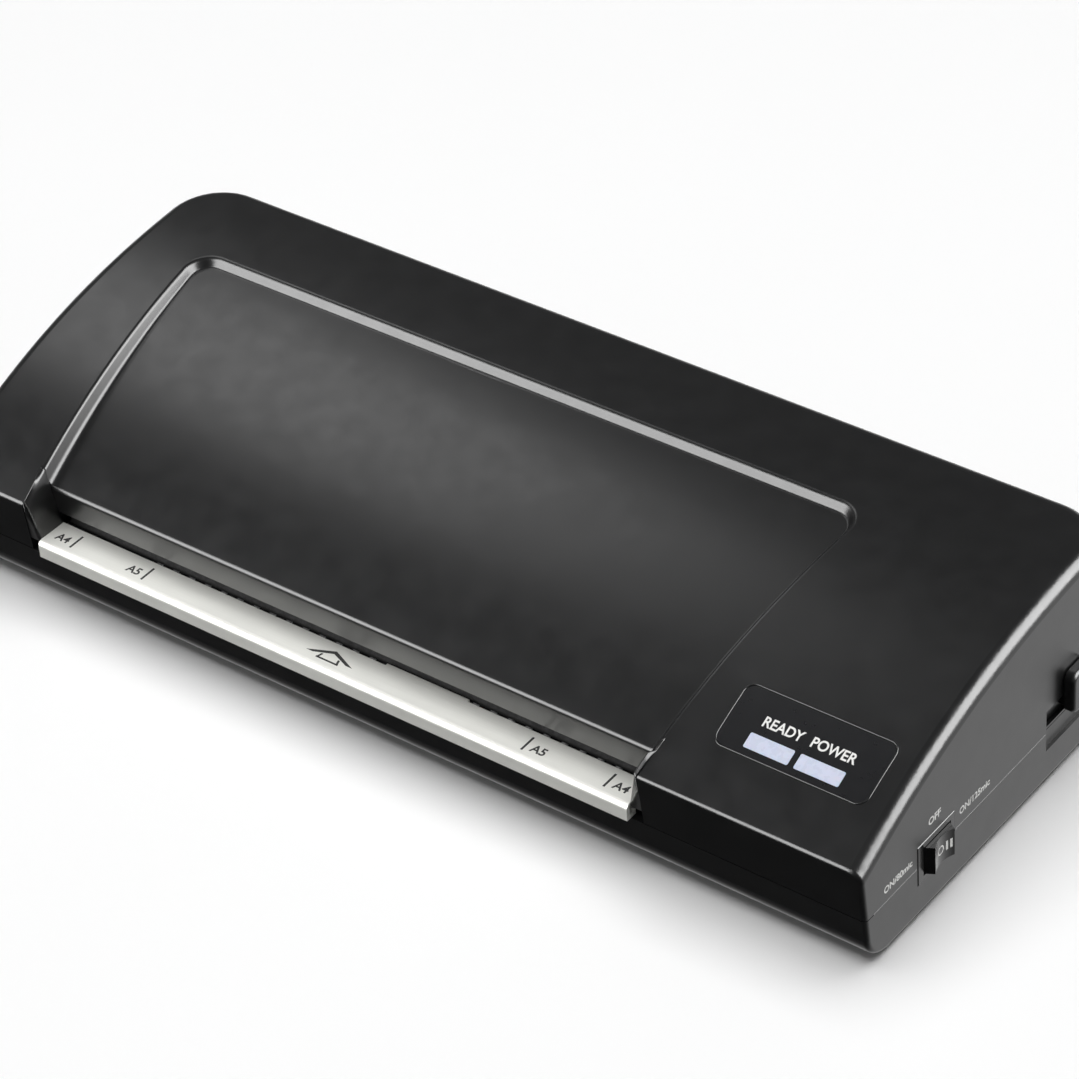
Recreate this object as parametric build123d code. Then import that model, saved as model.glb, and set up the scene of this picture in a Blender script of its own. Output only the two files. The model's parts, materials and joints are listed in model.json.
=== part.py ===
from build123d import *
import math
import os

# Pouch laminator, A4 feed width.  Millimetres, +X towards the switch end, +Y to the back, +Z up.
# Everything is laid out from the middle of the feed slot on the front edge of the case, at table
# height, and shift_to_origin moves it so that the origin is under the middle of the whole machine.

# ---- case -------------------------------------------------------------------------------------
CASE_LEFT, CASE_RIGHT = -161.2, 202.8      # ends of the case, either side of the feed slot's middle
CASE_D = 143.5                             # front edge to rear wall
FOOT_H = 1.7                               # the rubber feet hold the case this far off the table
FRONT_EDGE_Z = 40.0                        # height of the front upper edge
RISE, CROWN_RUN, CROWN_POWER = 34.6, 150.0, 2.43
FRONT_LEAN = 5.5                           # degrees; the front face leans back towards the table
WALL = 2.4
PART_Z = 20.5                              # height of the joint between cover and base
TOP_R, RIM_R, TOE_R, REAR_CORNER_R = 4.5, 1.6, 11.0, 20.0

# ---- recess in the cover, lip and feed slot -----------------------------------------------------
LIP_Y, LIP_BOTTOM_Z, LIP_R = 12.2, 30.7, 1.8
RECESS_BACK_Y, RECESS_CORNER_R = 109.2, 9.8
RECESS_HALF, RECESS_FLARE = 123.5, 0.113   # half width at the front edge and its growth per mm of Y
RECESS_DEEP_FRONT, RECESS_DEEP_BACK = 6.6, 2.8
SLOT_HALF = 119.6
TRAY_TOP_Z, TRAY_HALF = 26.6, 119.0

# ---- paper path and drive ------------------------------------------------------------------------
PATH_Z = 28.6
EXIT_H = 4.8
GUIDE_GAP = 2.2                            # from the pouch's path to a guide or heater plate
HEATER_FAR, STRIP_FAR = 6.0, 7.2           # from the path to the far side of a heater plate and its strip
PLATE_X, PLATE_T = 132.0, 1.5              # inner faces of the side plates, and their thickness
MODULE = 1.0
HOT_TEETH, PULL_TEETH, IDLER_TEETH, PINION_TEETH = 22, 18, 28, 12
HOT_Y, PULL_Y = 62.0, 108.0
SHAFT_R, RUN_FIT = 4.0, 0.04
NIP_GAP = 0.3
GEAR_X, GEAR_W = 137.0, 6.0
PRESSURE_ANGLE, BACKLASH = 20.0, 0.14
BUSH_R = 6.0
CLIP_X, CLIP_T, GROOVE_DEEP = -137.0, 0.8, 0.8
SPRING_SPOTS, SPRING_LOW, SPRING_TOP = (86.5, 96.5), 49.5, 59.0
MOTOR_R, MOTOR_X, MOTOR_T = 24.0, 150.2, 17.0

# ---- controls ------------------------------------------------------------------------------------
PANEL = (139.2, 192.2, 17.5, 37.4)         # status panel, x and y limits
PANEL_T, PANEL_R, PANEL_FIT = 0.7, 3.5, 0.12
LIGHTS = {"ready_window": (148.6, 164.3), "power_window": (166.4, 182.1)}
LIGHT_Y = (19.4, 24.1)
SWITCH_Y, SWITCH_Z, SWITCH_L, SWITCH_H = 39.3, 21.1, 20.0, 15.0
ROCKER_X, ROCKER_Y, ROCKER_H = CASE_RIGHT - 2.0, SWITCH_Y + 0.35, 10.3
LEVER_Y, LEVER_Z, LEVER_ARM = 110.5, 52.0, 26.5
LEVER_REST, LEVER_SWING = 12.0, 24.0       # degrees back from plumb at rest, and forward travel
LEVER_WINDOW = (100.8, 125.0, 13.7, 29.3)  # y and z limits of a shallow pocket in the right end
LEVER_SLOT = (100.8, 119.6, 21.4, 29.3)    # y and z limits of the slot through the pocket
POCKET_DEEP = 1.2
SHIELD_LOW_R, SHIELD_HIGH_R, SHIELD_SPREAD, SHIELD_BACK_Y = 22.2, 32.6, 35.0, 126.3
KNOB_PROUD = 4.0
CAM_R, CAM_THROW, CAM_REST = 5.0, 3.0, 102.0
GLAND_X, GLAND_Z, GLAND_PROUD, GLAND_BORE_R = 150.0, 12.9, 5.0, 3.3
GLAND_LOW, GLAND_HALF, GLAND_TAIL = 5.5, 6.0, 3.0
LIFT = 1.25

# ---- fastenings, feet and boards ---------------------------------------------------------------------
CASE_SCREWS = [(-150.0, 14.0), (190.0, 14.0), (-149.0, 124.0), (182.0, 126.0)]
FOOT_R = 7.0
FEET = [(x, y) for x in (CASE_LEFT + 15, CASE_RIGHT - 15) for y in (30, 101)]
PLATE_SCREWS = [(side * 138.5, y) for side in (-1, 1) for y in (25, 37, 110, 116)]
BOARD_POSTS = [(148, 14), (178, 14), (148, 52), (178, 52)]
BOARD_Z, BOARD_T = 8.5, 1.6
LAMP_Z = 40.1                              # top of the small board that carries the two lamps

# ---- values that follow from those above ---------------------------------------------------------------
FLOOR_Z = FOOT_H + WALL                    # inside of the base
HOT_R, PULL_R = HOT_TEETH * MODULE / 2, PULL_TEETH * MODULE / 2
IDLER_R, PINION_R = IDLER_TEETH * MODULE / 2, PINION_TEETH * MODULE / 2
LOWER_HOT, UPPER_HOT = (HOT_Y, PATH_Z - HOT_R), (HOT_Y, PATH_Z + HOT_R)
LOWER_PULL, UPPER_PULL = (PULL_Y, PATH_Z - PULL_R), (PULL_Y, PATH_Z + PULL_R)
TOP_Z = FRONT_EDGE_Z + RISE
SHIFT = Pos(-(CASE_LEFT + CASE_RIGHT + KNOB_PROUD) / 2, -(CASE_D + GLAND_PROUD) / 2, 0)


# ---- small helpers -------------------------------------------------------------------------------
def block(x0, x1, y0, y1, z0, z1):
    """Box between two corners."""
    size = Box(x1 - x0, y1 - y0, z1 - z0)
    return Pos((x0 + x1) / 2, (y0 + y1) / 2, (z0 + z1) / 2) * size


def rod(x0, x1, y, z, r):
    """Round bar along X."""
    return Pos((x0 + x1) / 2, y, z) * Rot(0, 90, 0) * Cylinder(r, x1 - x0)


def post(x, y, z0, z1, r):
    """Round bar along Z."""
    return Pos(x, y, (z0 + z1) / 2) * Cylinder(r, z1 - z0)


def along_x(face, x0, x1):
    """Extrude a face that lies in the YZ plane from x0 to x1."""
    return Pos(x0, 0, 0) * extrude(face, x1 - x0, dir=(1, 0, 0))


def crown(y, inset=0.0):
    """Height of the cover's arched top at depth y, or of a surface inset below it."""
    left = max(1 - y / CROWN_RUN, 0)
    slope = RISE * CROWN_POWER / CROWN_RUN * left ** (CROWN_POWER - 1)
    return FRONT_EDGE_Z + RISE * (1 - left ** CROWN_POWER) - inset * math.hypot(1, slope)


def recess_floor(y, inset=0.0):
    """Height of the recess's floor, which comes closer to the arched top towards the back."""
    part = (y - LIP_Y) / (RECESS_BACK_Y - LIP_Y)
    return crown(y, inset) - RECESS_DEEP_FRONT + part * (RECESS_DEEP_FRONT - RECESS_DEEP_BACK)


def group(pieces):
    """Separate solids kept together as one sub-part."""
    return Compound([solid for piece in pieces for solid in piece.solids()])


def placed_on_x(x, y, z):
    """Local frame on the X-facing plane at a point, with local x along Y and local y along Z."""
    return Plane(origin=(x, y, z), x_dir=(0, 1, 0), z_dir=(1, 0, 0))


# ---- case ----------------------------------------------------------------------------------------
def case_body(inset=0.0):
    """The closed outer shape of the case, or the same shape inset on every side."""
    lean = math.tan(math.radians(FRONT_LEAN))
    low, back = FOOT_H + inset, CASE_D - inset
    front = inset / math.cos(math.radians(FRONT_LEAN))
    steps = 10
    depths = [front + (back - front) * i / steps for i in range(steps + 1)]
    points = [(y, crown(y, inset)) for y in depths]
    toe = (front + (points[0][1] - low) * lean, low)
    top = Plane.YZ * Spline(*points)
    sides = Plane.YZ * Polyline(points[-1], (back, low), toe, points[0])
    side_view = make_face(top + sides)
    toe_corner = side_view.vertices().sort_by_distance((0, toe[0], toe[1]))[0]
    side_view = fillet(toe_corner, TOE_R - inset)
    solid = along_x(side_view, CASE_LEFT + inset, CASE_RIGHT - inset)
    uprights = solid.edges().filter_by(Axis.Z).group_by(Axis.Y)[-1]
    return fillet(uprights, REAR_CORNER_R - inset)


def rounded_case():
    """The outer shape with its rolled top edges and its finer rim."""
    solid = case_body()
    crown_face = solid.faces().sort_by(Axis.Z)[-1]
    solid = fillet([e for e in crown_face.edges() if e.center().Y > 5], TOP_R)
    front = solid.faces().sort_by(Axis.Y)[0]
    return fillet([e for e in front.edges() if e.center().Z > FOOT_H + TOE_R], RIM_R)


def recess_plan(grow=0.0):
    """Tall prism over the recess: it widens towards the back and has round back corners."""
    back = RECESS_BACK_Y + grow
    ends = [(y, RECESS_HALF + grow + RECESS_FLARE * y) for y in (-5.0, back)]
    (y0, half0), (y1, half1) = ends
    outline = make_face(Polyline((-half0, y0), (half0, y0), (half1, y1), (-half1, y1), close=True))
    corners = outline.vertices().group_by(Axis.Y)[-1]
    outline = fillet(corners, RECESS_CORNER_R + grow)
    return Pos(0, 0, PART_Z - 5) * extrude(outline, 80)


def recess_space(inset=0.0):
    """Space over the recess floor and in front of the lip, or the same space grown by a wall."""
    lip, steps = LIP_Y + inset, 8
    back, top, low = RECESS_BACK_Y + 12, TOP_Z + 5, PART_Z - 5
    depths = [lip + (back - lip) * i / steps for i in range(steps + 1)]
    points = [(y, recess_floor(y, inset)) for y in depths]
    floor = Plane.YZ * Spline(*points)
    rest = Plane.YZ * Polyline(points[-1], (back, top), (-5, top), (-5, low), (lip, low), points[0])
    side_view = make_face(floor + rest)
    lip_corner = side_view.vertices().sort_by_distance((0, lip, points[0][1]))[0]
    side_view = fillet(lip_corner, max(LIP_R - inset, 0.2))
    return along_x(side_view, -150, 150) & recess_plan(inset)


def panel_prism(grow, limits=PANEL, radius=PANEL_R):
    """Upright prism on a rounded rectangle."""
    x0, x1, y0, y1 = limits
    shape = RectangleRounded(x1 - x0 + 2 * grow, y1 - y0 + 2 * grow, radius + grow)
    return Pos((x0 + x1) / 2, (y0 + y1) / 2, FRONT_EDGE_Z) * extrude(shape, 30)


def crown_slab(top_inset, low_inset, y0, y1, x0, x1, steps=4):
    """Curved plate that follows the arched top between two insets."""
    depths = [y0 + (y1 - y0) * i / steps for i in range(steps + 1)]
    upper = [(y, crown(y, top_inset)) for y in depths]
    lower = [(y, crown(y, low_inset)) for y in depths]
    lines = Spline(*upper) + Line(upper[-1], lower[-1]) + Spline(*lower[::-1]) + Line(lower[0], upper[0])
    return along_x(make_face(Plane.YZ * lines), x0, x1)


def light_limits(name):
    x0, x1 = LIGHTS[name]
    return (x0, x1, *LIGHT_Y)


def panel_slab(top_inset):
    """Curved slab that reaches a little past the status panel, from top_inset down to its underside."""
    x0, x1, y0, y1 = PANEL
    return crown_slab(top_inset, PANEL_T, y0 - 2, y1 + 2, x0 - 2, x1 + 2)


def status_panel():
    plate = panel_slab(0) & panel_prism(0)
    for name in LIGHTS:
        plate -= panel_prism(0.05, light_limits(name), 0.5)
    return plate


def light_window(name):
    """Light pipe: its face is flush with the panel and its foot sits over the lamp."""
    limits = light_limits(name)
    x0, x1, y0, y1 = limits
    slab = crown_slab(0, 6.5, y0 - 1, y1 + 1, x0 - 1, x1 + 1)
    return slab & panel_prism(0, limits, 0.5)


def side_windows():
    """Cut-outs in the right end for the rocker switch, and the release lever's pocket and slot."""
    y0, y1 = SWITCH_Y - SWITCH_L / 2 - 0.1, SWITCH_Y + SWITCH_L / 2 + 0.1
    z0, z1 = SWITCH_Z - SWITCH_H / 2 - 0.1, SWITCH_Z + SWITCH_H / 2 + 0.1
    switch = block(CASE_RIGHT - 6, CASE_RIGHT + 6, y0, y1, z0, z1)
    pocket = block(CASE_RIGHT - POCKET_DEEP, CASE_RIGHT + 6, *LEVER_WINDOW)
    return switch + pocket + block(CASE_RIGHT - 6, CASE_RIGHT + 6, *LEVER_SLOT)


def top_cover(outer, inner):
    cavity = inner - recess_space(WALL)
    cover = outer - cavity - recess_space()
    slot = block(-SLOT_HALF, SLOT_HALF, LIP_Y - 1, LIP_Y + WALL + 3, PART_Z - 1, LIP_BOTTOM_Z)
    exit_low, exit_high = PATH_Z - EXIT_H / 2, PATH_Z + EXIT_H / 2
    exit_slot = block(-SLOT_HALF, SLOT_HALF, CASE_D - WALL - 2, CASE_D + 2, exit_low, exit_high)
    cover = cover - slot - exit_slot
    for x, y in CASE_SCREWS:
        cover += post(x, y, PART_Z + 0.1, crown(y - 4.5) - 0.7, 4.5) - post(x, y, PART_Z, PART_Z + 9, 1.5)
    slots = [block(x - 1.2, x + 1.2, CASE_D - WALL - 2, CASE_D + 2, 44, 60) for x in range(-105, 106, 7)]
    cover -= group(slots)
    cover -= panel_slab(-1) & panel_prism(PANEL_FIT)
    for name in LIGHTS:
        cover -= panel_prism(PANEL_FIT, light_limits(name), 0.5)
    cover -= block(-400, 400, -50, 300, -50, PART_Z + 0.15)
    return cover - side_windows()


def base_shell(outer, inner):
    base = (outer - inner) & block(-400, 400, -50, 300, 0, PART_Z - 0.15)
    inside = FLOOR_Z
    for x, y in CASE_SCREWS:
        base += post(x, y, inside - 0.5, PART_Z - 0.15, 5)
        base -= post(x, y, FOOT_H - 1, 8, 3.3) + post(x, y, 7, PART_Z, 1.7)
    for x, y in FEET:
        base -= post(x, y, 0, FOOT_H + 0.8, FOOT_R + 0.15)
    for x, y in PLATE_SCREWS:
        base -= post(x, y, FOOT_H + 0.7, inside + 1, 1.4)
    for x, y in BOARD_POSTS:
        base += post(x, y, inside - 0.5, BOARD_Z, 2.6)
    vents = [block(x - 1.3, x + 1.3, y, y + 26, 0, 8) for y in (28, 82) for x in range(-98, 99, 7)]
    base -= group(vents)
    base -= block(GLAND_X - GLAND_HALF, GLAND_X + GLAND_HALF, CASE_D - 6, CASE_D + 1, GLAND_LOW, PART_Z)
    return base - side_windows()


# ---- small outside pieces --------------------------------------------------------------------------
def feed_tray():
    """Extruded tray: flat top, rounded nose, front wall and two hooked feet."""
    t, low, back = 1.4, PART_Z - 0.1, LIP_Y + 0.2
    top = TRAY_TOP_Z
    outline = [(0, low), (0, top), (back, top), (back, top - t), (9.5, top - t), (9.5, 23.2), (8.4, 23.2)]
    outline += [(8.4, 24.2), (7.4, 24.2), (7.4, top - t), (t, top - t), (t, low + 1.2), (3.4, low + 1.2)]
    outline += [(3.4, low + 2.4), (4.4, low + 2.4), (4.4, low)]
    section = make_face(Plane.YZ * Polyline(*outline, close=True))
    nose = section.vertices().sort_by_distance((0, 0, top))[0]
    section = fillet(nose, 2.0)
    tray = along_x(section, -TRAY_HALF, TRAY_HALF)
    return tray + block(17, 49.5, back - 1, back + 1.0, top - t, top)


def rubber_feet():
    return group([post(x, y, 0, FOOT_H + 0.8, FOOT_R) for x, y in FEET])


def case_screws():
    def screw(x, y):
        body = post(x, y, 6.2, 8, 3.0) + post(x, y, 8, PART_Z + 8, 1.5)
        cross = block(x - 2, x + 2, y - 0.4, y + 0.4, 6, 7) + block(x - 0.4, x + 0.4, y - 2, y + 2, 6, 7)
        return body - cross
    return group([screw(x, y) for x, y in CASE_SCREWS])


def cord_gland():
    """Bush that slides down into a notch in the rear wall of the base, with a flange on each side."""
    inner_face, outer_face, top = CASE_D - WALL, CASE_D, PART_Z - 0.3
    half, low = GLAND_HALF, GLAND_LOW
    neck = block(GLAND_X - half + 0.1, GLAND_X + half - 0.1, inner_face, outer_face, low + 0.1, top)
    sides, flange_low = (GLAND_X - half - 2, GLAND_X + half + 2), low - 1.2
    tail = block(*sides, inner_face - GLAND_TAIL, inner_face, flange_low, top)
    flange = block(*sides, outer_face, outer_face + 1.5, flange_low, top)
    flange = fillet(flange.edges().filter_by(Axis.Y), 1.5)
    boss_long = GLAND_PROUD - 1.5
    axis = Pos(GLAND_X, 0, GLAND_Z) * Rot(-90, 0, 0)
    boss = axis * Pos(0, 0, outer_face + 1.5 + boss_long / 2) * Cone(6.6, 5.2, boss_long)
    hole = axis * Pos(0, 0, CASE_D) * Cylinder(GLAND_BORE_R, 30)
    return neck + tail + flange + boss - hole


def rating_label():
    return block(-60, 0, 58, 80, FOOT_H - 0.3, FOOT_H)


# ---- rocker switch ---------------------------------------------------------------------------------
def switch_housing():
    y0, y1 = SWITCH_Y - SWITCH_L / 2, SWITCH_Y + SWITCH_L / 2
    z0, z1 = SWITCH_Z - SWITCH_H / 2, SWITCH_Z + SWITCH_H / 2
    bezel = block(CASE_RIGHT - 1.8, CASE_RIGHT + 0.2, y0, y1, z0, z1)
    bezel = fillet(bezel.edges().group_by(Axis.X)[-1], 0.4)
    box = block(CASE_RIGHT - 16, CASE_RIGHT - 1.8, y0 + 1.2, y1 - 1.2, z0 + 1.2, z1 - 1.2)
    half_y, half_z = 7.45, ROCKER_H / 2 + 0.3
    pocket = block(ROCKER_X - 8, CASE_RIGHT + 1, ROCKER_Y - half_y, ROCKER_Y + half_y,
                   SWITCH_Z - half_z, SWITCH_Z + half_z)
    pivot = post(ROCKER_X, ROCKER_Y, SWITCH_Z - half_z - 1, SWITCH_Z + half_z + 1, 1.2 + RUN_FIT)
    return bezel + box - pocket - pivot


def switch_terminals():
    x0, x1, z0, z1 = CASE_RIGHT - 24, CASE_RIGHT - 16, SWITCH_Z - 2.4, SWITCH_Z + 2.4
    return group([block(x0, x1, y - 0.4, y + 0.4, z0, z1) for y in (SWITCH_Y - 5, SWITCH_Y, SWITCH_Y + 5)])


def switch_rocker():
    """Concave three-position rocker on a pin that stands upright."""
    half = [(-4.2, 3), (-1.5, 5.6), (1.9, 6.85), (4.9, 5.2)]
    ends = [(x, -y) for x, y in reversed(half)] + half
    hollow = ThreePointArc(ends[-1], (3.6, 0), ends[0])
    shape = make_face(Polyline(*ends) + hollow)
    body = Pos(ROCKER_X, ROCKER_Y, SWITCH_Z - ROCKER_H / 2) * extrude(shape, ROCKER_H)
    half = ROCKER_H / 2 + 1.1
    return body + post(ROCKER_X, ROCKER_Y, SWITCH_Z - half, SWITCH_Z + half, 1.2)


# ---- side plates and fixed parts between them --------------------------------------------------------
def idler_centre():
    """The idler meshes with both lower rollers' gears and sits above the line between them."""
    (y0, z0), (y1, z1) = LOWER_HOT, LOWER_PULL
    span = math.dist(LOWER_HOT, LOWER_PULL)
    to_hot, to_pull = HOT_R + IDLER_R, PULL_R + IDLER_R
    along = (to_hot ** 2 - to_pull ** 2 + span ** 2) / (2 * span)
    up = math.sqrt(to_hot ** 2 - along ** 2)
    uy, uz = (y1 - y0) / span, (z1 - z0) / span
    return (y0 + along * uy - up * uz, z0 + along * uz + up * uy)


IDLER = idler_centre()
PINION = (IDLER[0], IDLER[1] + IDLER_R + PINION_R)
MOTOR = (PINION[0], PINION[1] - 11.0)


def mirrored(side, x0, x1, y0, y1, z0, z1):
    """Box given for the right end, or its mirror image at the left end."""
    lo, hi = sorted((side * x0, side * x1))
    return block(lo, hi, y0, y1, z0, z1)


def plate_rods(side, x0, x1, y, z, r):
    lo, hi = sorted((side * x0, side * x1))
    return rod(lo, hi, y, z, r)


def side_plate(side):
    inside, outside = PLATE_X, PLATE_X + PLATE_T
    floor = FLOOR_Z
    outline = [(17, floor), (17, 38), (30, 44), (66, 56), (82, 60.5), (128, 60.5), (128, floor)]
    shape = make_face(Plane.YZ * Polyline(*outline, close=True))
    lo = min(side * inside, side * outside)
    plate = along_x(shape, lo, lo + PLATE_T)
    plate += mirrored(side, PLATE_X - 8, outside, 82, 101, SPRING_TOP, SPRING_TOP + 1.5)
    for y0, y1 in ((20, 42), (107, 119)):
        plate += mirrored(side, outside - 0.1, 143.5, y0, y1, floor, floor + PLATE_T)
    for x, y in PLATE_SCREWS:
        if x * side > 0:
            plate -= post(x, y, 0, 8, 1.5)
    for y, z in (LOWER_HOT, LOWER_PULL):
        plate -= plate_rods(side, inside - 1, outside + 1, y, z, BUSH_R)
    for y, z in (UPPER_HOT, UPPER_PULL):
        slot_low, slot_high = z - 0.5, z + LIFT + 0.5
        plate -= plate_rods(side, inside - 1, outside + 1, y, slot_low, SHAFT_R + 0.5)
        plate -= plate_rods(side, inside - 1, outside + 1, y, slot_high, SHAFT_R + 0.5)
        front, back = y - SHAFT_R - 0.5, y + SHAFT_R + 0.5
        plate -= mirrored(side, inside - 1, outside + 1, front, back, slot_low, slot_high)
    plate -= plate_rods(side, inside - 1, outside + 1, LEVER_Y, LEVER_Z, 3 + RUN_FIT)
    if side > 0:
        plate -= plate_rods(side, inside - 1, outside + 1, *IDLER, 3)
    return plate


def tie_rods():
    spots = [(21, 10), (82, 10), (123, 10), (123, 57)]
    return group([rod(-PLATE_X, PLATE_X, y, z, 2.5) for y, z in spots])


def plate_screws():
    floor = FLOOR_Z
    screws = [post(x, y, FOOT_H + 0.7, floor + PLATE_T, 1.4) + post(x, y, floor + PLATE_T, floor + 3.1, 2.6)
              for x, y in PLATE_SCREWS]
    return group(screws)


def lower_bearings():
    def bush(side, y, z):
        ring = plate_rods(side, PLATE_X, PLATE_X + PLATE_T + 0.5, y, z, BUSH_R)
        ring += plate_rods(side, PLATE_X - 2, PLATE_X, y, z, BUSH_R + 1.5)
        return ring - plate_rods(side, PLATE_X - 3, PLATE_X + 4, y, z, SHAFT_R + RUN_FIT)
    spots = [(s, *c) for s in (-1, 1) for c in (LOWER_HOT, LOWER_PULL)]
    return group([bush(*spot) for spot in spots])


def above_or_below(upper, x0, x1, y0, y1, near, far):
    """Box between two distances from the pouch's path, above it or below it."""
    if upper:
        return block(x0, x1, y0, y1, PATH_Z + near, PATH_Z + far)
    return block(x0, x1, y0, y1, PATH_Z - far, PATH_Z - near)


def heater_plate(upper):
    return above_or_below(upper, -PLATE_X, PLATE_X, 26, 49, GUIDE_GAP, HEATER_FAR)


def heater_strip(upper):
    return above_or_below(upper, -112, 112, 29, 46, HEATER_FAR, STRIP_FAR)


def thermostat(x, r):
    """Round sensor on the upper heating strip, with a tab at each side."""
    low = PATH_Z + STRIP_FAR
    body = post(x, 37.5, low, low + 5, r)
    for x0, x1 in ((x - r - 5, x - r + 1), (x + r - 1, x + r + 5)):
        body += block(x0, x1, 36, 39, low + 3, low + 3.8)
    return body


def guides(y0, y1, half, ramp):
    """Upper and lower guide strips that keep the pouch on its path."""
    low = above_or_below(False, -half, half, y0, y1, GUIDE_GAP, 2 * GUIDE_GAP)
    high = above_or_below(True, -half, half, y0, y1, GUIDE_GAP, 2 * GUIDE_GAP)
    low_edge = low.edges().filter_by(Axis.X).group_by(Axis.Z)[-1].sort_by(Axis.Y)
    high_edge = high.edges().filter_by(Axis.X).group_by(Axis.Z)[0].sort_by(Axis.Y)
    return chamfer(low_edge[0], ramp), chamfer(high_edge[0], ramp)


# ---- rollers, gears and the release --------------------------------------------------------------------
def shaft(centre):
    """Roller shaft with a clip groove at its left end."""
    y, z = centre
    bar = rod(-139, GEAR_X + GEAR_W + 1, y, z, SHAFT_R)
    groove_end = CLIP_X + CLIP_T + 0.1
    groove = rod(CLIP_X, groove_end, y, z, SHAFT_R + 1) - rod(CLIP_X, groove_end, y, z, SHAFT_R - GROOVE_DEEP)
    return bar - groove


def clip(centre):
    """Open spring ring in the shaft's groove."""
    y, z = centre
    ring = rod(CLIP_X, CLIP_X + CLIP_T, y, z, SHAFT_R + 2.2)
    ring -= rod(CLIP_X - 1, CLIP_X + 2, y, z, SHAFT_R - GROOVE_DEEP)
    return ring - block(CLIP_X - 1, CLIP_X + 2, y - 1.6, y + 1.6, z - 8, z)


def sleeve(centre, radius):
    y, z = centre
    return rod(-SLOT_HALF, SLOT_HALF, y, z, radius - NIP_GAP / 2) - rod(-130, 130, y, z, SHAFT_R)


def involute(angle):
    return math.tan(angle) - angle


def half_angle(r, pitch_r):
    """Half of the angle that a tooth spans at radius r."""
    pressure = math.radians(PRESSURE_ANGLE)
    at_pitch = (math.pi * MODULE / 2 - BACKLASH) / 2 / pitch_r
    return at_pitch + involute(pressure) - involute(math.acos(pitch_r * math.cos(pressure) / r))


def gear(teeth, centre, phase, bore):
    """Spur gear about X with involute flanks; phase is the angle of one tooth, from +Y towards +Z."""
    pitch_r = teeth * MODULE / 2
    base_r = pitch_r * math.cos(math.radians(PRESSURE_ANGLE))
    tip_r, root_r = pitch_r + 0.92 * MODULE, pitch_r - 1.25 * MODULE
    flank_low = max(base_r, root_r + 0.1)
    radii = [flank_low + (tip_r - flank_low) * i / 3 for i in range(4)]
    rising = [(root_r, -half_angle(flank_low, pitch_r))] + [(r, -half_angle(r, pitch_r)) for r in radii]
    tooth = rising + [(r, -angle) for r, angle in reversed(rising)]
    points = []
    for i in range(teeth):
        middle = math.radians(phase) + 2 * math.pi * i / teeth
        points += [(r * math.cos(middle + a), r * math.sin(middle + a)) for r, a in tooth]
    y, z = centre
    outline = make_face(placed_on_x(GEAR_X, y, z) * Polyline(*points, close=True))
    wheel = extrude(outline, GEAR_W, dir=(1, 0, 0))
    return wheel - rod(GEAR_X - 1, GEAR_X + GEAR_W + 1, y, z, bore)


def meshed_phase(phase, teeth, centre, other_teeth, other_centre):
    """Phase that puts a gap of the other gear on each tooth of the first at the line of centres."""
    toward = math.degrees(math.atan2(other_centre[1] - centre[1], other_centre[0] - centre[0]))
    return toward + 180 + 180 / other_teeth - (phase - toward) * teeth / other_teeth


HOT_PHASE = 0.0
UPPER_HOT_PHASE = meshed_phase(HOT_PHASE, HOT_TEETH, LOWER_HOT, HOT_TEETH, UPPER_HOT)
IDLER_PHASE = meshed_phase(HOT_PHASE, HOT_TEETH, LOWER_HOT, IDLER_TEETH, IDLER)
PULL_PHASE = meshed_phase(IDLER_PHASE, IDLER_TEETH, IDLER, PULL_TEETH, LOWER_PULL)
UPPER_PULL_PHASE = meshed_phase(PULL_PHASE, PULL_TEETH, LOWER_PULL, PULL_TEETH, UPPER_PULL)
PINION_PHASE = meshed_phase(IDLER_PHASE, IDLER_TEETH, IDLER, PINION_TEETH, PINION)


def lift_plate(side):
    """Carries the two upper rollers and hangs on the cam of the release shaft."""
    x0, x1 = PLATE_X - 4, PLATE_X - 2.5
    cam_top = LEVER_Z + CAM_R + CAM_THROW * math.cos(math.radians(CAM_REST)) + 0.25
    hook_top = cam_top + 2.2
    outline = [(54, 31.5), (54, 46), (62, 48), (101, 48), (101, hook_top), (120, hook_top), (120, 42)]
    outline += [(116, 31.5), (100, 31.5), (96, 42), (74, 42), (70, 31.5)]
    shape = make_face(Plane.YZ * Polyline(*outline, close=True))
    lo = min(side * x0, side * x1)
    plate = along_x(shape, lo, lo + 1.5)
    plate += mirrored(side, PLATE_X - 8, x1, 81, 100.5, SPRING_LOW - 1.5, SPRING_LOW)
    plate -= mirrored(side, x0 - 1, x1 + 1, LEVER_Y - 8.4, LEVER_Y + 8.4, LEVER_Z - 6.6, cam_top)
    for y, z in (UPPER_HOT, UPPER_PULL):
        plate -= plate_rods(side, x0 - 1, x1 + 1, y, z, BUSH_R)
    return plate


def upper_bearings():
    def bush(side, y, z):
        ring = plate_rods(side, PLATE_X - 5.5, PLATE_X - 1.5, y, z, BUSH_R)
        return ring - plate_rods(side, PLATE_X - 7, PLATE_X + 1, y, z, SHAFT_R + RUN_FIT)
    spots = [(s, *c) for s in (-1, 1) for c in (UPPER_HOT, UPPER_PULL)]
    return group([bush(*spot) for spot in spots])


def pressure_springs():
    spots = [(s * (PLATE_X - 5.4), y) for s in (-1, 1) for y in SPRING_SPOTS]
    return group([spring_coil(*spot) for spot in spots])


def spring_coil(x, y):
    """Compression spring: a wire helix with plain ends."""
    wire = 0.45
    height = SPRING_TOP - SPRING_LOW - 2 * wire - 0.1
    path = Helix(pitch=1.9, height=height, radius=1.9)
    section = Plane(origin=path @ 0, z_dir=path % 0) * Circle(wire)
    return Pos(x, y, SPRING_LOW + wire + 0.05) * sweep(section, path=path)


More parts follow.
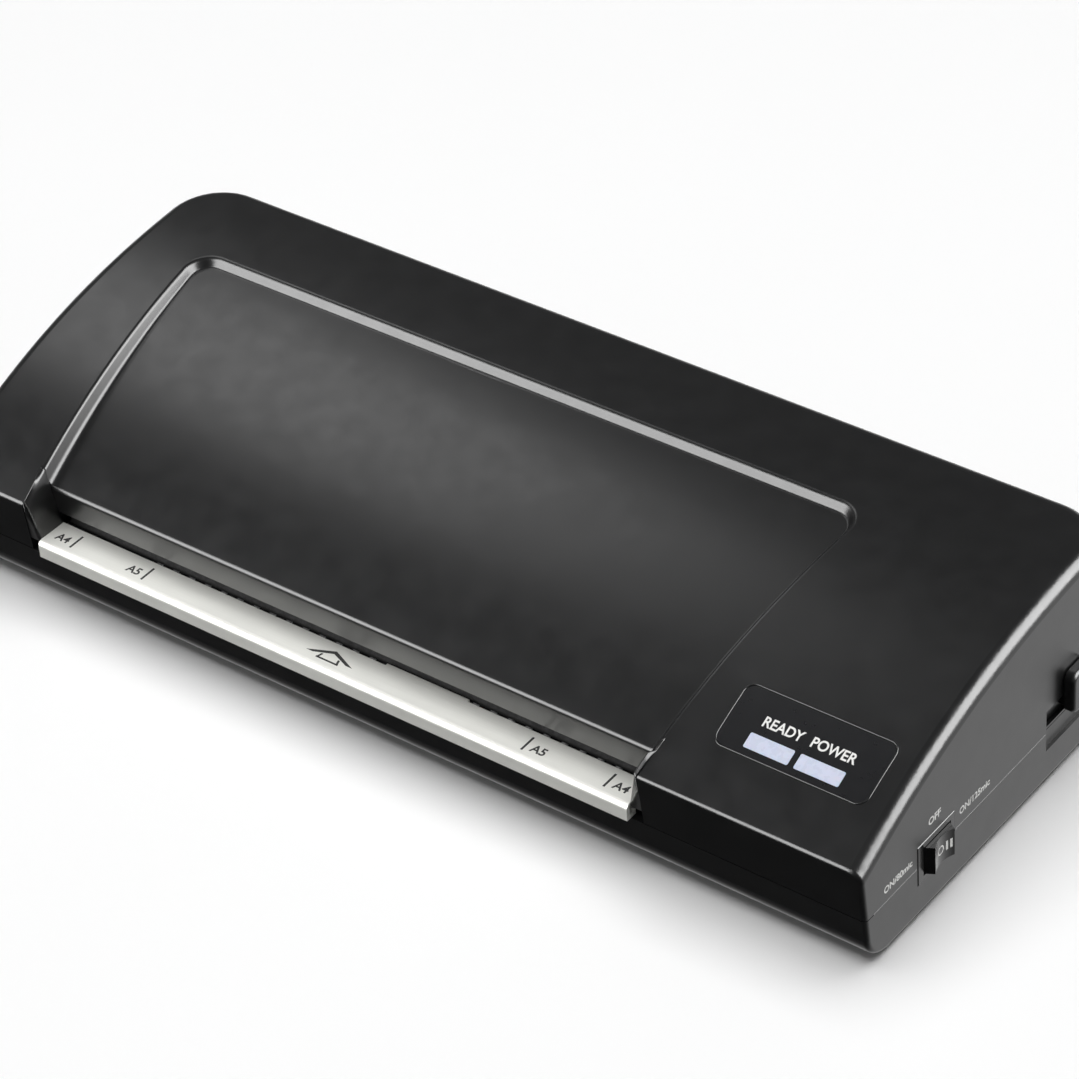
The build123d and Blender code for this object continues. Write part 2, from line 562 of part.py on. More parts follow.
def release_shaft():
    """Steel rod across the machine with an eccentric cam beside each side plate."""
    bar = rod(-136, CASE_RIGHT - 6, LEVER_Y, LEVER_Z, 3)
    turn = math.radians(CAM_REST)
    y, z = LEVER_Y - CAM_THROW * math.sin(turn), LEVER_Z + CAM_THROW * math.cos(turn)
    for side in (-1, 1):
        bar += plate_rods(side, PLATE_X - 4.2, PLATE_X - 2.3, y, z, CAM_R)
    return bar


def lever_shield():
    """Sector of a ring just inside the wall, which closes the slot as the lever swings."""
    x0, x1 = CASE_RIGHT - WALL - 1.5, CASE_RIGHT - WALL - 0.5
    ring = rod(x0, x1, LEVER_Y, LEVER_Z, SHIELD_HIGH_R) - rod(x0 - 1, x1 + 1, LEVER_Y, LEVER_Z, SHIELD_LOW_R)
    reach = 2 * SHIELD_HIGH_R
    rays = [math.radians(LEVER_REST + side * SHIELD_SPREAD - 90) for side in (-1, 1)]
    corners = [(0, 0)] + [(reach * math.cos(a), reach * math.sin(a)) for a in rays]
    wedge = make_face(placed_on_x(x0 - 1, LEVER_Y, LEVER_Z) * Polyline(*corners, close=True))
    sector = ring & extrude(wedge, x1 - x0 + 2, dir=(1, 0, 0))
    return sector & block(x0, x1, LEVER_Y - reach, SHIELD_BACK_Y, 0, LEVER_Z)


def release_lever():
    """Hub, arm, stem through the slot with its shield, and the finger pad outside."""
    turn = math.radians(LEVER_REST)
    y, z = LEVER_Y + LEVER_ARM * math.sin(turn), LEVER_Z - LEVER_ARM * math.cos(turn)
    x0, x1 = CASE_RIGHT - 9.5, CASE_RIGHT - 6.5
    hub = rod(x0 - 2, x1, LEVER_Y, LEVER_Z, 6) - rod(x0 - 3, x1 + 1, LEVER_Y, LEVER_Z, 3)
    arm = Pos((x0 + x1) / 2, LEVER_Y, LEVER_Z) * Rot(LEVER_REST, 0, 0)
    arm = arm * Pos(0, 0, -(LEVER_ARM + 4) / 2 - 2) * Box(x1 - x0, 7, LEVER_ARM)
    stem = block(x1 - 2, CASE_RIGHT + 1, y - 3, y + 3, z - 3, z + 1.5)
    pad = block(CASE_RIGHT + 0.5, CASE_RIGHT + KNOB_PROUD, y - 6, y + 6, z - 3.5, z + 12)
    pad = fillet(pad.edges().filter_by(Axis.X), 3)
    pad = fillet(pad.faces().sort_by(Axis.X)[-1].edges(), 1.5)
    return hub + arm + stem + lever_shield() + pad


# ---- drive and electrical parts ----------------------------------------------------------------------
def motor_bracket():
    y, z = MOTOR
    floor = FLOOR_Z
    plate = block(MOTOR_X - 1.5, MOTOR_X, y - 28, y + 28, floor, z + 22)
    foot = block(MOTOR_X - 1.5, MOTOR_X + 9, y - 28, y + 28, floor, floor + 1.5)
    boss_hole = rod(MOTOR_X - 3, MOTOR_X + 0.5, *PINION, 6.1)
    shaft_hole = rod(MOTOR_X - 3, MOTOR_X + 0.5, LEVER_Y, LEVER_Z, 3.8)
    return plate + foot - boss_hole - shaft_hole


def gear_motor():
    y, z = MOTOR
    can = rod(MOTOR_X, MOTOR_X + MOTOR_T, y, z, MOTOR_R)
    can = fillet(can.edges().sort_by(Axis.X)[-1], 1.5)
    boss = rod(MOTOR_X - 2, MOTOR_X + 1, *PINION, 6)
    return can + boss - rod(MOTOR_X - 3, MOTOR_X + 6, *PINION, 3 + RUN_FIT)


def motor_shaft():
    return rod(GEAR_X - 0.5, MOTOR_X + 5.5, *PINION, 3)


def idler_stud():
    pin = rod(PLATE_X, GEAR_X + GEAR_W + 1.2, *IDLER, 3)
    spacer = rod(PLATE_X + PLATE_T, GEAR_X - 0.4, *IDLER, 5)
    return pin + spacer


def circuit_board():
    return block(144.5, 182.5, 9.5, 56, BOARD_Z, BOARD_Z + BOARD_T)


def board_components():
    """Relay, transformer and three round capacitors on the main board."""
    top = BOARD_Z + BOARD_T
    parts = [block(146, 162, 18, 30, top, top + 14), block(166, 178, 22, 34, top, top + 9)]
    for x, y, high, r in ((152, 42, 12, 5), (165, 44, 8, 3.5), (174, 44, 8, 3.5)):
        parts.append(post(x, y, top, top + high, r))
    return group(parts)


def indicator_board():
    return block(146, 185, 13, 30, LAMP_Z - BOARD_T, LAMP_Z)


def indicator_lamps():
    lamps = []
    for x0, x1 in LIGHTS.values():
        x, y = (x0 + x1) / 2, sum(LIGHT_Y) / 2
        lamps.append(post(x, y, LAMP_Z, LAMP_Z + 1.9, 1.5))
    return group(lamps)


def terminal_block():
    floor = FLOOR_Z
    body = block(140, 164, 122, 132, floor, floor + 10)
    for x in (146, 152, 158):
        body -= post(x, 127, floor + 4, floor + 12, 2)
    return body


# ---- every node --------------------------------------------------------------------------------------
def all_parts():
    outer, inner = rounded_case(), case_body(WALL)
    parts = {
        "top_cover": top_cover(outer, inner),
        "base_shell": base_shell(outer, inner),
        "feed_tray": feed_tray(),
        "status_panel": status_panel(),
        "rubber_feet": rubber_feet(),
        "case_screws": case_screws(),
        "cord_gland": cord_gland(),
        "rating_label": rating_label(),
        "switch_housing": switch_housing(),
        "switch_terminals": switch_terminals(),
        "switch_rocker": switch_rocker(),
        "left_side_plate": side_plate(-1),
        "right_side_plate": side_plate(1),
        "tie_rods": tie_rods(),
        "plate_screws": plate_screws(),
        "lower_bearings": lower_bearings(),
        "upper_heater_plate": heater_plate(True),
        "lower_heater_plate": heater_plate(False),
        "heater_strips": group([heater_strip(True), heater_strip(False)]),
        "thermostat": thermostat(45, 8),
        "thermal_fuse": thermostat(-45, 3.5),
        "left_lift_plate": lift_plate(-1),
        "right_lift_plate": lift_plate(1),
        "upper_bearings": upper_bearings(),
        "pressure_springs": pressure_springs(),
        "release_shaft": release_shaft(),
        "release_lever": release_lever(),
        "motor_bracket": motor_bracket(),
        "gear_motor": gear_motor(),
        "motor_shaft": motor_shaft(),
        "idler_stud": idler_stud(),
        "circuit_board": circuit_board(),
        "board_components": board_components(),
        "indicator_board": indicator_board(),
        "indicator_lamps": indicator_lamps(),
        "terminal_block": terminal_block(),
        "idler_gear": gear(IDLER_TEETH, IDLER, IDLER_PHASE, 3 + RUN_FIT),
        "motor_pinion": gear(PINION_TEETH, PINION, PINION_PHASE, 3),
    }
    for name in LIGHTS:
        parts[name] = light_window(name)
    rollers = {
        "lower_hot": (LOWER_HOT, HOT_R, HOT_TEETH, HOT_PHASE),
        "upper_hot": (UPPER_HOT, HOT_R, HOT_TEETH, UPPER_HOT_PHASE),
        "lower_pull": (LOWER_PULL, PULL_R, PULL_TEETH, PULL_PHASE),
        "upper_pull": (UPPER_PULL, PULL_R, PULL_TEETH, UPPER_PULL_PHASE),
    }
    for name, (centre, radius, teeth, phase) in rollers.items():
        parts[name + "_shaft"] = shaft(centre)
        parts[name + "_sleeve"] = sleeve(centre, radius)
        parts[name + "_gear"] = gear(teeth, centre, phase, SHAFT_R)
        parts[name + "_clip"] = clip(centre)
    for name, limits in {"entry": (15.2, 24.5), "exit": (121.0, CASE_D - WALL - 0.2)}.items():
        parts[name + "_guides"] = group(guides(*limits, SLOT_HALF - 0.4, 1.2))
    return parts


if __name__ == "__main__":
    os.makedirs("parts", exist_ok=True)
    for name, shape in all_parts().items():
        export_step(SHIFT * shape, f"parts/{name}.step")
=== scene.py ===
import json
import math

import bmesh
import bpy
from mathutils import Matrix, Vector
from mathutils.bvhtree import BVHTree


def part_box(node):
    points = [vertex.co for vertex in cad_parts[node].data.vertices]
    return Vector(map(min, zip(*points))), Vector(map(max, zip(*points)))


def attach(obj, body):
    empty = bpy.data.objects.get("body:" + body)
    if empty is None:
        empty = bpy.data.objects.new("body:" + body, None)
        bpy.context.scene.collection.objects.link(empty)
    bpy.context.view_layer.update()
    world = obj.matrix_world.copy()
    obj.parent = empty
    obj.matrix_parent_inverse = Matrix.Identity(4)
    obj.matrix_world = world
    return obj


# Pouch laminator: materials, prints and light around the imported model.  Metres, in the row frame.
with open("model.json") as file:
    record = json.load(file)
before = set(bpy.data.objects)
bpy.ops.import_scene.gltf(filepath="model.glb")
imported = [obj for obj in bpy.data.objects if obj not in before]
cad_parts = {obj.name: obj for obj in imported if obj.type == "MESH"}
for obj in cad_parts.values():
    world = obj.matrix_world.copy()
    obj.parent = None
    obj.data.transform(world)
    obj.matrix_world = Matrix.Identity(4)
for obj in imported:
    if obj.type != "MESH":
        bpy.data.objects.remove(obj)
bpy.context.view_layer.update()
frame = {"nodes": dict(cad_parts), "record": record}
MM = 0.001

# ---- places read from the frame ----------------------------------------------------------------
TRAY_LOW, TRAY_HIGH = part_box("feed_tray")
PANEL_LOW, PANEL_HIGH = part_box("status_panel")
COVER_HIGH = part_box("top_cover")[1]
ROCKER_LOW, ROCKER_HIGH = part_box("switch_rocker")
FEED_X, FRONT_Y = (TRAY_LOW.x + TRAY_HIGH.x) / 2, TRAY_LOW.y
PRINT_LIFT = 0.012 * MM                    # a print's middle above the surface that carries it

# ---- camera ------------------------------------------------------------------------------------
CAMERA_PLACE = Vector((0.6738, -0.7950, 0.8497))
CAMERA_TURN, CAMERA_DOWN, CAMERA_ROLL = 39.90, 37.95, -4.71
LENS, SENSOR = 138.4, 36.0


# ---- material building blocks --------------------------------------------------------------------
class Nodes:
    """A material's node tree with short calls for the nodes that the finishes here use."""

    def __init__(self, name):
        self.material = bpy.data.materials.new(name)
        self.material.use_nodes = True
        self.tree = self.material.node_tree
        self.shader = self.tree.nodes["Principled BSDF"]
        self.place = self.tree.nodes.new("ShaderNodeTexCoord").outputs["Object"]

    def add(self, kind, **settings):
        node = self.tree.nodes.new("ShaderNode" + kind)
        for key, value in settings.items():
            setattr(node, key, value)
        return node

    def link(self, out, into):
        self.tree.links.new(out, into)

    def noise(self, size, detail=2.0, stretch=(1, 1, 1)):
        """Noise whose features are about size metres, longer along an axis where stretch is above 1."""
        mapping = self.add("Mapping")
        mapping.inputs["Scale"].default_value = [1 / size / s for s in stretch]
        self.link(self.place, mapping.inputs["Vector"])
        noise = self.add("TexNoise")
        noise.inputs["Scale"].default_value = 1.0
        noise.inputs["Detail"].default_value = detail
        self.link(mapping.outputs["Vector"], noise.inputs["Vector"])
        return noise.outputs["Fac"]

    def spread(self, value, low, high, start=0.3, end=0.7):
        """A number between low and high as value goes from start to end."""
        node = self.add("MapRange")
        node.inputs["From Min"].default_value, node.inputs["From Max"].default_value = start, end
        node.inputs["To Min"].default_value, node.inputs["To Max"].default_value = low, high
        self.link(value, node.inputs["Value"])
        return node.outputs["Result"]

    def mix(self, amount, first, second):
        """Colour between two colours, each a triple or an output."""
        node = self.add("Mix", data_type="RGBA")
        for socket, colour in ((node.inputs[6], first), (node.inputs[7], second)):
            if isinstance(colour, tuple):
                socket.default_value = (*colour, 1)
            else:
                self.link(colour, socket)
        self.link(amount, node.inputs[0])
        return node.outputs[2]

    def edges(self, start=0.50, end=0.56):
        """One on sharp outer edges, zero on flat stretches."""
        return self.spread(self.add("NewGeometry").outputs["Pointiness"], 0, 1, start, end)

    def bump(self, height, depth, strength=1.0):
        """Raises the surface by height times depth metres; calls stack."""
        node = self.add("Bump")
        node.inputs["Strength"].default_value = strength
        node.inputs["Distance"].default_value = depth
        self.link(height, node.inputs["Height"])
        before = self.shader.inputs["Normal"].links
        if before:
            self.link(before[0].from_socket, node.inputs["Normal"])
        self.link(node.outputs["Normal"], self.shader.inputs["Normal"])


def tint(colour, factor):
    return tuple(min(1.0, c * factor) for c in colour)


def moulded(name, colour, rough, grain=0.45 * MM, depth=0.006 * MM, wear=1.35):
    """Moulded plastic: fine sparked grain, faint flow marks and slightly polished edges."""
    n = Nodes(name)
    flow = n.noise(35 * MM, 3.0, (2.0, 1, 1))
    shade = n.mix(flow, tint(colour, 0.88), tint(colour, 1.12))
    n.link(n.mix(n.edges(), shade, tint(colour, wear)), n.shader.inputs["Base Color"])
    fine = n.noise(grain, 2.0)
    n.link(n.spread(n.noise(9 * MM, 4.0), rough - 0.025, rough + 0.025), n.shader.inputs["Roughness"])
    n.bump(fine, depth)
    return n.material


def gloss(name, colour, rough, dust=0.03):
    """Polished plastic with the faint unevenness of handling."""
    n = Nodes(name)
    cloud = n.noise(12 * MM, 4.0)
    n.link(n.mix(cloud, tint(colour, 0.9), tint(colour, 1.1)), n.shader.inputs["Base Color"])
    n.link(n.spread(n.noise(4 * MM, 5.0), rough, rough + dust), n.shader.inputs["Roughness"])
    n.bump(n.noise(6 * MM, 2.0), 0.01 * MM, 0.5)
    return n.material


def metal(name, colour, rough, streak=(40, 1, 1), size=0.25 * MM,
          depth=0.004 * MM, tone=0.07, metallic=1.0):
    """Drawn or brushed metal with fine streaks along one axis."""
    n = Nodes(name)
    n.shader.inputs["Metallic"].default_value = metallic
    lines = n.noise(size, 3.0, streak)
    cloud = n.noise(20 * MM, 3.0)
    base = n.mix(lines, tint(colour, 1 - tone), tint(colour, 1 + tone))
    n.link(n.mix(n.spread(cloud, 0, 0.5), base, tint(colour, 0.9)), n.shader.inputs["Base Color"])
    n.link(n.spread(lines, rough - 0.05, rough + 0.06), n.shader.inputs["Roughness"])
    n.bump(lines, depth)
    return n.material


def rubbery(name, colour, rough=0.75):
    n = Nodes(name)
    n.link(n.mix(n.noise(3 * MM, 5.0), tint(colour, 0.8), tint(colour, 1.2)), n.shader.inputs["Base Color"])
    n.link(n.spread(n.noise(1 * MM, 3.0), rough - 0.08, rough + 0.08), n.shader.inputs["Roughness"])
    n.bump(n.noise(0.3 * MM, 2.0), 0.02 * MM)
    return n.material


def ink(name, colour, rough=0.5):
    """Screen-printed ink: thin and a little uneven."""
    n = Nodes(name)
    patchy = n.noise(0.5 * MM, 4.0)
    n.link(n.mix(n.spread(patchy, 0, 0.4), colour, tint(colour, 0.75)), n.shader.inputs["Base Color"])
    n.link(n.spread(patchy, rough - 0.06, rough + 0.06), n.shader.inputs["Roughness"])
    n.bump(patchy, 0.004 * MM)
    return n.material


def diffuser(name, colour):
    """Milky acrylic light pipe with a faint random tone, scattering a little light under its surface."""
    n = Nodes(name)
    shade = n.mix(n.noise(5 * MM, 2.0), tint(colour, 0.94), tint(colour, 1.06))
    n.link(shade, n.shader.inputs["Base Color"])
    n.link(n.spread(n.noise(2 * MM, 3.0), 0.24, 0.32), n.shader.inputs["Roughness"])
    n.shader.inputs["Subsurface Weight"].default_value = 0.25
    n.shader.inputs["Subsurface Scale"].default_value = 1.5 * MM
    n.bump(n.noise(0.8 * MM, 2.0), 0.01 * MM)
    return n.material


def laminate_board(name):
    """Green circuit laminate with a faint woven glass pattern under the lacquer."""
    n = Nodes(name)
    weave = n.add("TexWave", wave_type="BANDS", bands_direction="X")
    weave.inputs["Scale"].default_value = 600
    weave.inputs["Distortion"].default_value = 1.5
    n.link(n.place, weave.inputs["Vector"])
    green = n.mix(weave.outputs["Fac"], (0.02, 0.13, 0.05), (0.03, 0.19, 0.08))
    n.link(green, n.shader.inputs["Base Color"])
    n.link(n.spread(n.noise(4 * MM), 0.28, 0.38), n.shader.inputs["Roughness"])
    n.bump(weave.outputs["Fac"], 0.01 * MM)
    return n.material


def make_materials():
    """One finish for each material slot of the record."""
    black, deep = (0.0045, 0.0046, 0.0049), (0.0040, 0.0041, 0.0044)
    return {
        "cover_plastic": moulded("satin_black_cover", black, 0.30),
        "base_plastic": moulded("satin_black_base", black, 0.33),
        "tray_metal": metal("satin_silver_tray", (0.74, 0.74, 0.70), 0.46, (60, 1, 1), metallic=0.45),
        "panel_gloss": gloss("satin_panel", (0.0040, 0.0042, 0.0055), 0.27),
        "light_window": diffuser("milky_window", (0.62, 0.66, 0.80)),
        "rubber": rubbery("black_rubber", (0.02, 0.02, 0.02)),
        "screw_steel": metal("zinc_screw", (0.60, 0.60, 0.61), 0.32, (1, 1, 8)),
        "plate_steel": metal("galvanised_plate", (0.60, 0.61, 0.63), 0.38, (1, 6, 1), 0.8 * MM, tone=0.15),
        "shaft_steel": metal("ground_shaft", (0.66, 0.66, 0.67), 0.2, (1, 12, 12)),
        "silicone": rubbery("red_silicone", (0.30, 0.07, 0.035), 0.6),
        "bearing": moulded("bearing_polymer", (0.10, 0.07, 0.045), 0.42),
        "heater_alloy": metal("heater_extrusion", (0.72, 0.72, 0.73), 0.36, (60, 1, 1)),
        "mica": moulded("insulated_strip", (0.42, 0.33, 0.18), 0.5, 1.2 * MM, 0.03 * MM),
        "gear_plastic": moulded("acetal_gear", (0.72, 0.70, 0.62), 0.4),
        "switch_plastic": gloss("gloss_switch", deep, 0.17),
        "lever_plastic": moulded("satin_black_lever", deep, 0.33),
        "spring_steel": metal("spring_wire", (0.42, 0.43, 0.45), 0.28, (1, 1, 4)),
        "motor_can": metal("plated_can", (0.56, 0.56, 0.54), 0.3, (1, 8, 8)),
        "board": laminate_board("green_board"),
        "component": moulded("component_black", (0.02, 0.02, 0.023), 0.45),
        "lamp": diffuser("lamp_lens", (0.45, 0.7, 0.4)),
        "brass_part": metal("brass", (0.70, 0.52, 0.22), 0.3, (1, 1, 10)),
        "label": moulded("blank_label", (0.55, 0.55, 0.53), 0.5, 0.6 * MM, 0.01 * MM),
    }


def dress_nodes(materials):
    """Gives every CAD node the finish of its slot in the record; the pouch guides are matt."""
    matt_guide = rubbery("matt_guide", (0.003, 0.003, 0.003), 0.9)
    own_finish = {"entry_guides": matt_guide, "exit_guides": matt_guide}
    for part in frame["record"]["subparts"]:
        finish = own_finish.get(part["node"], materials[part["material_slot"]])
        for slot in frame["nodes"][part["node"]].material_slots:
            slot.material = finish


# ---- new pieces ----------------------------------------------------------------------------------
def add_piece(name, mesh, body, material):
    """A mesh in the row frame becomes a piece that rides on a body."""
    piece = bpy.data.objects.new(name, mesh)
    bpy.context.scene.collection.objects.link(piece)
    mesh.materials.clear()
    mesh.materials.append(material)
    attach(piece, body)


def mesh_of(curve):
    """Mesh of a curve's shape; the curve itself goes."""
    holder = bpy.data.objects.new(curve.name, curve)
    bpy.context.scene.collection.objects.link(holder)
    graph = bpy.context.evaluated_depsgraph_get()
    mesh = bpy.data.meshes.new_from_object(holder.evaluated_get(graph))
    bpy.data.objects.remove(holder)
    bpy.data.curves.remove(curve)
    return mesh


CAPITAL_SHARE = 0.69                       # height of a capital against the font's size


def lettering(text, height, weight):
    """Flat thin letters in the XY plane, centred on the origin; height is that of a capital."""
    curve = bpy.data.curves.new(text, "FONT")
    curve.body = text
    curve.align_x, curve.align_y = "CENTER", "CENTER"
    curve.size = height / CAPITAL_SHARE
    curve.extrude = 0.01 * MM
    curve.resolution_u = 6
    curve.offset = height * weight
    return mesh_of(curve)


def plates(outlines, thick=0.02 * MM):
    """Thin flat plates in the XY plane from lists of points."""
    mesh = bpy.data.meshes.new("plates")
    form = bmesh.new()
    for outline in outlines:
        face = form.faces.new([form.verts.new((x, y, -thick / 2)) for x, y in outline])
        made = bmesh.ops.extrude_face_region(form, geom=[face])["geom"]
        corners = [v for v in made if isinstance(v, bmesh.types.BMVert)]
        bmesh.ops.translate(form, verts=corners, vec=(0, 0, thick))
    bmesh.ops.recalc_face_normals(form, faces=form.faces)
    form.to_mesh(mesh)
    form.free()
    return mesh


def bar(x0, y0, x1, y1):
    return [(x0, y0), (x1, y0), (x1, y1), (x0, y1)]


def joined(meshes):
    """One mesh from several."""
    form = bmesh.new()
    for mesh in meshes:
        form.from_mesh(mesh)
    whole = bpy.data.meshes.new("joined")
    form.to_mesh(whole)
    form.free()
    return whole


def moved(mesh, matrix):
    mesh.transform(matrix)
    return mesh


def surface_of(node):
    source = frame["nodes"][node].data
    return BVHTree.FromPolygons([v.co for v in source.vertices], [p.vertices for p in source.polygons])


def height_on(surface, place):
    """Height of the first surface met from above at a place in plan."""
    return surface.ray_cast(Vector((place[0], place[1], 1.0)), Vector((0, 0, -1)))[0].z


def draped(mesh, surface, lift=0.02 * MM):
    """Drops a mesh straight down onto a surface and keeps its own thickness above it."""
    for vertex in mesh.vertices:
        vertex.co.z += height_on(surface, vertex.co) + lift
    return mesh


def on_side(mesh, x, y, z):
    """Stands a flat mesh on the right end of the case, reading from front to back."""
    upright = Matrix(((0, 0, 1), (1, 0, 0), (0, 1, 0))).to_4x4()
    return moved(mesh, Matrix.Translation((x, y, z)) @ upright)


def lofted(name, sections):
    """Closed smooth solid through closed sections that have the same number of points."""
    form = bmesh.new()
    rings = [[form.verts.new(point) for point in section] for section in sections]
    count = len(rings[0])
    for ring, following in zip(rings, rings[1:]):
        for i in range(count):
            j = (i + 1) % count
            form.faces.new((ring[i], ring[j], following[j], following[i]))
    form.faces.new(rings[0])
    form.faces.new(reversed(rings[-1]))
    bmesh.ops.recalc_face_normals(form, faces=form.faces)
    mesh = bpy.data.meshes.new(name)
    form.to_mesh(mesh)
    form.free()
    mesh.shade_smooth()
    return mesh


# ---- rim of the recess -------------------------------------------------------------------------------
RIM_HALF, RIM_FLARE = 123.5 * MM, 0.113      # half width at the front edge, growth with distance back
RIM_BACK, RIM_CORNER = 109.2 * MM, 9.8 * MM
LIP_BACK = 12.2 * MM                         # front edge of the case to the lip over the feed slot
RIM_ROUND = 1.2 * MM                         # how far the rounding of the upper edge reaches inward
SLANT_FRONT, SLANT_BACK = 12.0, 27.0         # degrees between the wall and plumb
FOOT_R_FRONT, FOOT_R_BACK = 3.0 * MM, 1.2 * MM
BURIED, SUNK = 0.3 * MM, Vector((0, -PRINT_LIFT))   # the rim's ends go this far into the cover
ON_COVER = (-0.5 * MM, -1.5 * MM)            # places beside the recess's edge that give the cover's slope
ON_FLOOR = (4.5 * MM, 6.0 * MM)              # and the slope of the recess's floor
RIM_STARTS = (0, 0.15, 0.35, 0.6, 0.9, 1.3, 1.8, 2.5)
COVER_FRONT_Z, FRONT_LEAN = 40 * MM, math.tan(math.radians(5.5))
CHEEK_R, CHEEK_PULL = 1.0 * MM, 0.55
CHEEK_STEPS = (0.12, 0.3, 0.55, 0.85, 1.2, 1.7, 3, 5, 7, 9, 11, 12.5, 13.5)


def share(value, low, high):
    return min(1.0, max(0.0, (value - low) / (high - low)))


def blend(amount, first, second):
    return first + (second - first) * amount


def rim_side(y):
    """Plan distance of the recess's right edge from the middle, y back from the front edge."""
    return RIM_HALF + RIM_FLARE * y


def rim_stations():
    """Places on the recess's edge with the direction inward, from the left front round to the right."""
    lean = math.hypot(1, RIM_FLARE)
    centre_y = RIM_BACK - RIM_CORNER
    centre_x = rim_side(centre_y) - RIM_CORNER * lean
    start = math.atan2(-RIM_FLARE, 1)
    corner_y = centre_y + RIM_CORNER * math.sin(start)
    right = []
    depths = [LIP_BACK + 0.05 * MM + step * MM for step in RIM_STARTS]
    steps = 34
    depths += [blend(i / steps, depths[-1], corner_y) for i in range(1, steps)]
    for y in depths:
        right.append((rim_side(y), y, -1 / lean, RIM_FLARE / lean))
    arc_steps = 14
    for i in range(arc_steps + 1):
        a = blend(i / arc_steps, start, math.pi / 2)
        x, y = centre_x + RIM_CORNER * math.cos(a), centre_y + RIM_CORNER * math.sin(a)
        right.append((x, y, -math.cos(a), -math.sin(a)))
    left = [(-x, y, -nx, ny) for x, y, nx, ny in right]
    back_steps = 40
    back = [(blend(i / back_steps, -centre_x, centre_x), RIM_BACK, 0, -1) for i in range(1, back_steps)]
    return left + back + right[::-1]


def bent(corner, before, after, reach, steps):
    """Smooth bend between two lines that meet at a corner; it leaves them reach away from it."""
    start, end = corner - before * reach, corner + after * reach
    points = []
    for i in range(steps + 1):
        t = i / steps
        points.append(start * (1 - t) ** 2 + corner * 2 * t * (1 - t) + end * t ** 2)
    return points


def sloping_line(surface, station, near, far):
    """Height on the station's edge and slope inward, from two places further along the surface."""
    x, y, nx, ny = station
    low, high = (height_on(surface, (FEED_X + x + nx * u, FRONT_Y + y + ny * u)) for u in (near, far))
    slope = (high - low) / (far - near)
    return low - slope * near, slope


def rim_wall(station, surface):
    """Upper corner of the wall and the unit directions along the cover and down the wall."""
    top, slope = sloping_line(surface, station, *ON_COVER)
    slant = math.radians(blend(share(station[1], 0, 100 * MM), SLANT_FRONT, SLANT_BACK))
    corner = Vector((RIM_ROUND, top + slope * RIM_ROUND))
    return corner, Vector((1, slope)).normalized(), Vector((math.sin(slant), -math.cos(slant)))


def placed(station, profile, shear=0.0):
    """Points of a profile, distance inward and height, set up at a station."""
    x, y, nx, ny = station
    points = []
    for u, z in profile:
        lean = shear * (COVER_FRONT_Z - z)
        points.append((FEED_X + x + nx * u, FRONT_Y + y + ny * u + lean, z))
    return points


def rim_section(station, surface):
    """Rounded upper edge, slanted wall and hollow foot, tangent to the cover and to the recess's floor."""
    corner, along_top, down = rim_wall(station, surface)
    floor, slope = sloping_line(surface, station, *ON_FLOOR)
    long = (corner.y - floor - slope * corner.x) / (slope * down.x - down.y)
    foot = corner + down * long
    along_floor = Vector((1, slope)).normalized()
    radius = blend(share(station[1], LIP_BACK, 90 * MM), FOOT_R_FRONT, FOOT_R_BACK)
    reach = min(radius * math.tan(down.angle(along_floor) / 2), 0.6 * long)
    upper = bent(corner, along_top, down, RIM_ROUND, 8)
    lower = bent(foot, down, along_floor, reach, 10)
    start = upper[0] - along_top * BURIED + SUNK
    end = lower[-1] + along_floor * BURIED + SUNK
    under = [end - Vector((0, BURIED)), Vector((start.x, end.y - BURIED))]
    return placed(station, [start] + upper + lower + [end] + under)


def cheek_section(station, surface, low, lean):
    """Wall beside the feed slot, from the cover down to the tray; it rounds into the front face."""
    corner, along_top, down = rim_wall((station[0], LIP_BACK, *station[2:]), surface)
    front = max(0.0, 1 - station[1] / CHEEK_R)
    pulled = 1 - CHEEK_PULL * (1 - math.sqrt(1 - front * front))
    at_front = (station[0], max(station[1], 0.4 * MM), *station[2:])
    corner.y = sloping_line(surface, at_front, *ON_COVER)[0]
    upper = bent(corner, along_top, down, RIM_ROUND, 8)
    foot = corner + down * ((corner.y - low) / -down.y)
    start = upper[0] + Vector((-BURIED, 0)) + SUNK
    profile = [start] + upper + [foot, Vector((-BURIED, low))]
    return placed(station, [Vector((u * pulled if u > 0 else u, z)) for u, z in profile], lean)


def recess_rim(material):
    surface = surface_of("top_cover")
    mesh = lofted("recess_rim", [rim_section(station, surface) for station in rim_stations()])
    add_piece("recess_rim", mesh, "case", material)
    depths = [step * MM for step in CHEEK_STEPS]
    low = TRAY_HIGH.z - 1 * MM
    for name, side in (("left", -1), ("right", 1)):
        stations = [(side * rim_side(y), y, -side, 0.0) for y in depths]
        sections = [cheek_section(station, surface, low, FRONT_LEAN) for station in stations]
        add_piece("slot_cheek_" + name, lofted("cheek", sections), "case", material)


# ---- tray marks ------------------------------------------------------------------------------------
TICKS = {"A4": 108.0, "A5": 77.0}          # half the pouch width that each pair of ticks marks, mm
TICK_LONG, TICK_WIDE = 6.6 * MM, 0.8 * MM
MARK_Y = FRONT_Y + 6.7 * MM
SIZE_WORD_HIGH, SIZE_WORD_WEIGHT = 3.2 * MM, 0.035
SIZE_WORD_OUT, SIZE_WORD_DOWN = 5.0 * MM, 0.9 * MM      # from the tick's middle to the word's


